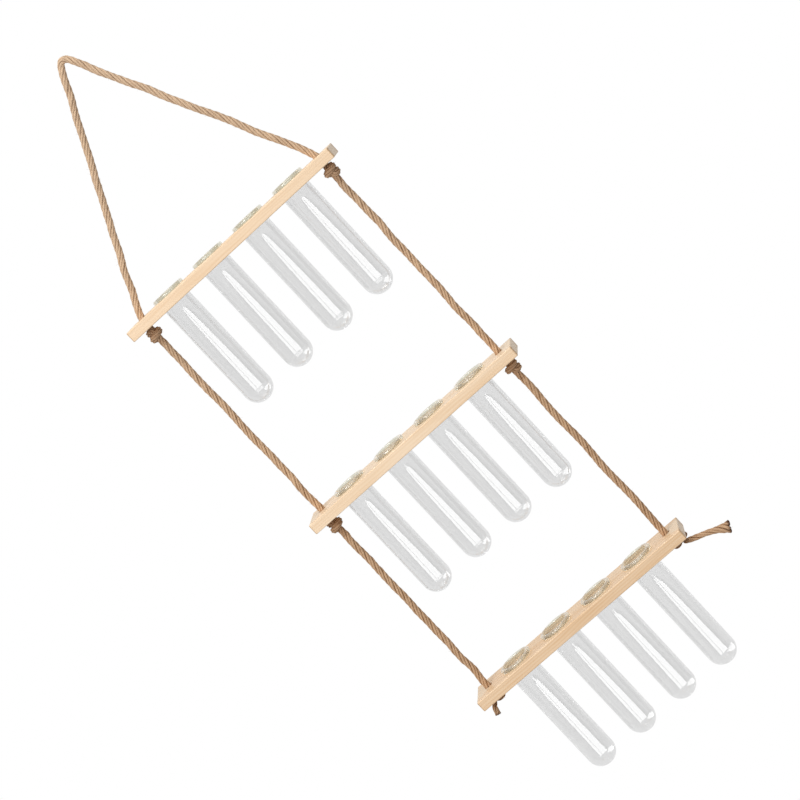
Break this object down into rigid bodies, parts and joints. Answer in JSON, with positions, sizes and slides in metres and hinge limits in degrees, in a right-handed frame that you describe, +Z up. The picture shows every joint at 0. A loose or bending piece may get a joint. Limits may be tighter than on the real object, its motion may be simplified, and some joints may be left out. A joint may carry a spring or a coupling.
{
  "type": "test tube vase",
  "caption": "Hanging test tube vase: wooden bars strung on a knotted jute rope, with rows of lipped round-bottom glass tubes that hold flower stems.",
  "frame": {"origin": "where the hook carries the rope: the inside of the rope at the top of its loop", "axes": "+Z up, +X along the bars to the side of the longer loose rope end, -Y the front"},
  "size_m": [0.2414, 0.04, 0.6939],
  "materials": {
    "wood": "pale, lightly oiled",
    "glass": "clear, glossy",
    "jute": "twisted natural fibre"
  },
  "bodies": {
    "hanger": {"rope_hanger": "jute"},
    "top_bar": {"bar_top": "wood", "knot_top_left": "jute", "knot_top_right": "jute"},
    "middle_bar": {"bar_middle": "wood", "knot_middle_left": "jute", "knot_middle_right": "jute"},
    "bottom_bar": {"bar_bottom": "wood", "knot_bottom_left": "jute", "knot_bottom_right": "jute", "tail_left": "jute", "tail_right": "jute"},
    "upper_ropes": {"rope_upper_left": "jute", "rope_upper_right": "jute"},
    "lower_ropes": {"rope_lower_left": "jute", "rope_lower_right": "jute"},
    "top_tube_1": {"tube_top_1": "glass"},
    "top_tube_2": {"tube_top_2": "glass"},
    "top_tube_3": {"tube_top_3": "glass"},
    "top_tube_4": {"tube_top_4": "glass"},
    "middle_tube_1": {"tube_middle_1": "glass"},
    "middle_tube_2": {"tube_middle_2": "glass"},
    "middle_tube_3": {"tube_middle_3": "glass"},
    "middle_tube_4": {"tube_middle_4": "glass"},
    "bottom_tube_1": {"tube_bottom_1": "glass"},
    "bottom_tube_2": {"tube_bottom_2": "glass"},
    "bottom_tube_3": {"tube_bottom_3": "glass"},
    "bottom_tube_4": {"tube_bottom_4": "glass"}
  },
  "joints": [
    {"name": "top_bar_tilt", "type": "hinge", "parent": "hanger", "child": "top_bar", "pos_m": [0, 0, -0.17695], "axis": [1, 0, 0], "range_deg": [-45, 45]},
    {"name": "upper_ropes_swing", "type": "hinge", "parent": "top_bar", "child": "upper_ropes", "pos_m": [0, 0, -0.20959], "axis": [1, 0, 0], "range_deg": [-45, 45]},
    {"name": "middle_bar_tilt", "type": "hinge", "parent": "upper_ropes", "child": "middle_bar", "pos_m": [0, 0, -0.38095], "axis": [1, 0, 0], "range_deg": [-45, 45]},
    {"name": "lower_ropes_swing", "type": "hinge", "parent": "middle_bar", "child": "lower_ropes", "pos_m": [0, 0, -0.41359], "axis": [1, 0, 0], "range_deg": [-45, 45]},
    {"name": "bottom_bar_tilt", "type": "hinge", "parent": "lower_ropes", "child": "bottom_bar", "pos_m": [0, 0, -0.57395], "axis": [1, 0, 0], "range_deg": [-45, 45]},
    {"name": "top_tube_1_lift", "type": "slide", "parent": "top_bar", "child": "top_tube_1", "axis": [0, 0, 1], "range_m": [0, 0.02]},
    {"name": "top_tube_2_lift", "type": "slide", "parent": "top_bar", "child": "top_tube_2", "axis": [0, 0, 1], "range_m": [0, 0.1]},
    {"name": "top_tube_3_lift", "type": "slide", "parent": "top_bar", "child": "top_tube_3", "axis": [0, 0, 1], "range_m": [0, 0.1]},
    {"name": "top_tube_4_lift", "type": "slide", "parent": "top_bar", "child": "top_tube_4", "axis": [0, 0, 1], "range_m": [0, 0.02]},
    {"name": "middle_tube_1_lift", "type": "slide", "parent": "middle_bar", "child": "middle_tube_1", "axis": [0, 0, 1], "range_m": [0, 0.088]},
    {"name": "middle_tube_2_lift", "type": "slide", "parent": "middle_bar", "child": "middle_tube_2", "axis": [0, 0, 1], "range_m": [0, 0.088]},
    {"name": "middle_tube_3_lift", "type": "slide", "parent": "middle_bar", "child": "middle_tube_3", "axis": [0, 0, 1], "range_m": [0, 0.088]},
    {"name": "middle_tube_4_lift", "type": "slide", "parent": "middle_bar", "child": "middle_tube_4", "axis": [0, 0, 1], "range_m": [0, 0.088]},
    {"name": "bottom_tube_1_lift", "type": "slide", "parent": "bottom_bar", "child": "bottom_tube_1", "axis": [0, 0, 1], "range_m": [0, 0.077]},
    {"name": "bottom_tube_2_lift", "type": "slide", "parent": "bottom_bar", "child": "bottom_tube_2", "axis": [0, 0, 1], "range_m": [0, 0.077]},
    {"name": "bottom_tube_3_lift", "type": "slide", "parent": "bottom_bar", "child": "bottom_tube_3", "axis": [0, 0, 1], "range_m": [0, 0.077]},
    {"name": "bottom_tube_4_lift", "type": "slide", "parent": "bottom_bar", "child": "bottom_tube_4", "axis": [0, 0, 1], "range_m": [0, 0.077]}
  ]
}
